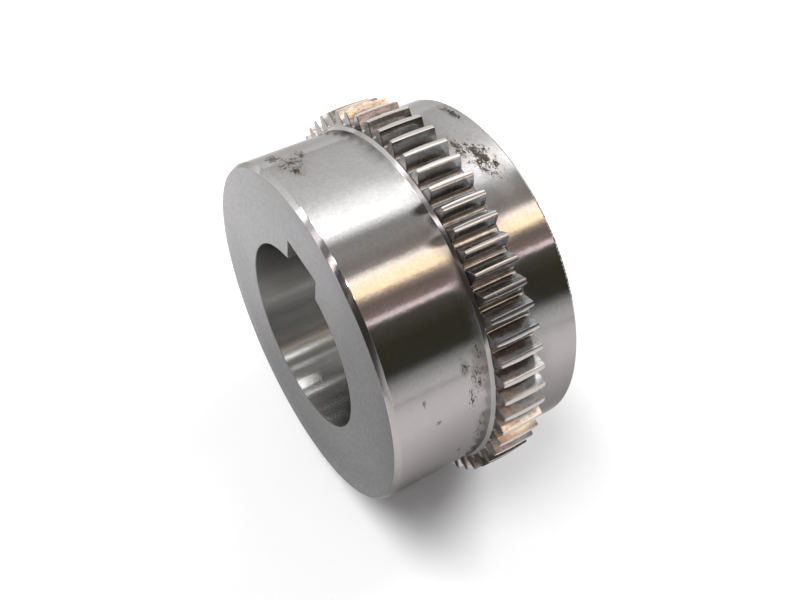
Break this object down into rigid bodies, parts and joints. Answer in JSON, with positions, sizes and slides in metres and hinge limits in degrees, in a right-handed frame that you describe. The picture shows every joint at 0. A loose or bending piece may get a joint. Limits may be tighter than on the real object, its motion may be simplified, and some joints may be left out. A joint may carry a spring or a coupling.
{
  "type": "gear coupling hub",
  "caption": "One-piece steel hub with a ring of crowned external coupling teeth between two cylindrical barrels, a through bore and one parallel keyway.",
  "frame": {"origin": "on the bore axis, half way between the two end faces", "axes": "+Y along the bore axis from the long barrel's end face towards the short barrel's; +Z through the middle of the keyway; the hub lies on its side"},
  "size_m": [0.0952, 0.0492, 0.0952],
  "materials": {
    "machined_steel": "turned and hobbed bare carbon steel, satin to bright, with a few light rust spots"
  },
  "bodies": {
    "root": {"gear_hub": "machined_steel"}
  },
  "joints": []
}
